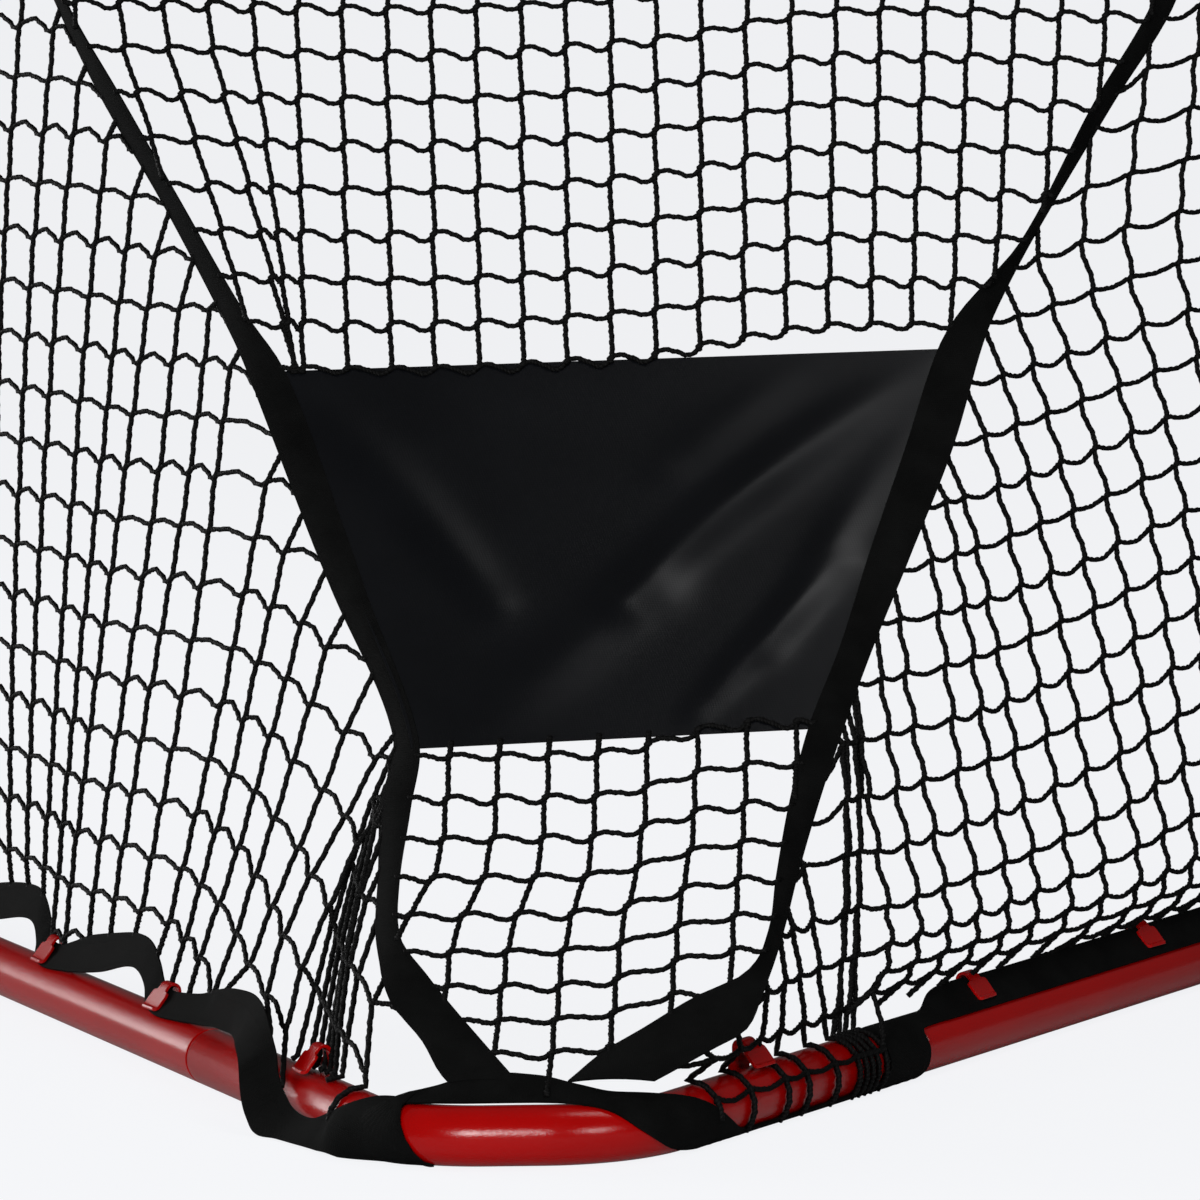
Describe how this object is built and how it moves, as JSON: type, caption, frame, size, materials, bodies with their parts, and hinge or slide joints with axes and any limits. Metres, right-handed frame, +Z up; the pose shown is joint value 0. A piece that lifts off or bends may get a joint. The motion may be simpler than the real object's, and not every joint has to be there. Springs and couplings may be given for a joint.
{
  "type": "lacrosse goal",
  "caption": "Steel-tube lacrosse goal with a V-shaped ground frame, hung cord net, webbing tapes, a plain rear panel and spring-button slip joints.",
  "frame": {"origin": "on the floor, in the middle of the goal's box", "axes": "+Z up, +Y out of the mouth towards the field, rear corner towards -Y, +X to the right seen from behind"},
  "size_m": [1.3012, 1.178, 1.2571],
  "materials": {
    "red_powder_coat": "glossy powder coat",
    "zinc_button": "zinc plated",
    "spring_steel": "plain",
    "black_webbing": "woven, matte",
    "black_cord": "twisted, matte",
    "black_vinyl": "satin"
  },
  "bodies": {
    "frame": {"rear_corner_tube": "red_powder_coat", "crossbar": "red_powder_coat", "left_ground_rail": "red_powder_coat", "right_ground_rail": "red_powder_coat", "left_post": "red_powder_coat", "right_post": "red_powder_coat", "left_rear_button_spring": "spring_steel", "left_foot_button_spring": "spring_steel", "left_head_button_spring": "spring_steel", "right_rear_button_spring": "spring_steel", "right_foot_button_spring": "spring_steel", "right_head_button_spring": "spring_steel", "left_rail_clip_1": "red_powder_coat", "left_rail_clip_2": "red_powder_coat", "left_rail_clip_3": "red_powder_coat", "left_rail_clip_4": "red_powder_coat", "left_rail_clip_5": "red_powder_coat", "left_post_clip_1": "red_powder_coat", "left_post_clip_2": "red_powder_coat", "left_post_clip_3": "red_powder_coat", "left_post_clip_4": "red_powder_coat", "left_post_tape": "black_webbing", "left_seam_tape": "black_webbing", "left_side_net": "black_cord", "right_rail_clip_1": "red_powder_coat", "right_rail_clip_2": "red_powder_coat", "right_rail_clip_3": "red_powder_coat", "right_rail_clip_4": "red_powder_coat", "right_rail_clip_5": "red_powder_coat", "right_post_clip_1": "red_powder_coat", "right_post_clip_2": "red_powder_coat", "right_post_clip_3": "red_powder_coat", "right_post_clip_4": "red_powder_coat", "right_post_tape": "black_webbing", "right_seam_tape": "black_webbing", "right_side_net": "black_cord", "crossbar_clip_1": "red_powder_coat", "crossbar_clip_2": "red_powder_coat", "crossbar_clip_3": "red_powder_coat", "crossbar_clip_4": "red_powder_coat", "crossbar_clip_5": "red_powder_coat", "crossbar_tape": "black_webbing", "ground_border_tape": "black_webbing", "back_panel": "black_vinyl", "lower_back_net": "black_cord", "back_net": "black_cord"},
    "left_rear_snap_button": {"left_rear_snap_button": "zinc_button"},
    "left_foot_snap_button": {"left_foot_snap_button": "zinc_button"},
    "left_head_snap_button": {"left_head_snap_button": "zinc_button"},
    "right_rear_snap_button": {"right_rear_snap_button": "zinc_button"},
    "right_foot_snap_button": {"right_foot_snap_button": "zinc_button"},
    "right_head_snap_button": {"right_head_snap_button": "zinc_button"}
  },
  "joints": [
    {"name": "left_rear_snap_button_press", "type": "slide", "parent": "frame", "child": "left_rear_snap_button", "axis": [-0.8987, -0.4385, 0], "range_m": [0, 0.005], "stiffness_N_per_m": 2400, "springref_m": -0.003, "deforming": ["left_rear_button_spring"]},
    {"name": "left_foot_snap_button_press", "type": "slide", "parent": "frame", "child": "left_foot_snap_button", "axis": [1, 0, 0], "range_m": [0, 0.005], "stiffness_N_per_m": 2400, "springref_m": -0.003, "deforming": ["left_foot_button_spring"]},
    {"name": "left_head_snap_button_press", "type": "slide", "parent": "frame", "child": "left_head_snap_button", "axis": [1, 0, 0], "range_m": [0, 0.005], "stiffness_N_per_m": 2400, "springref_m": -0.003, "deforming": ["left_head_button_spring"]},
    {"name": "right_rear_snap_button_press", "type": "slide", "parent": "frame", "child": "right_rear_snap_button", "axis": [0.8987, -0.4385, 0], "range_m": [0, 0.005], "stiffness_N_per_m": 2400, "springref_m": -0.003, "deforming": ["right_rear_button_spring"]},
    {"name": "right_foot_snap_button_press", "type": "slide", "parent": "frame", "child": "right_foot_snap_button", "axis": [-1, 0, 0], "range_m": [0, 0.005], "stiffness_N_per_m": 2400, "springref_m": -0.003, "deforming": ["right_foot_button_spring"]},
    {"name": "right_head_snap_button_press", "type": "slide", "parent": "frame", "child": "right_head_snap_button", "axis": [-1, 0, 0], "range_m": [0, 0.005], "stiffness_N_per_m": 2400, "springref_m": -0.003, "deforming": ["right_head_button_spring"]}
  ]
}
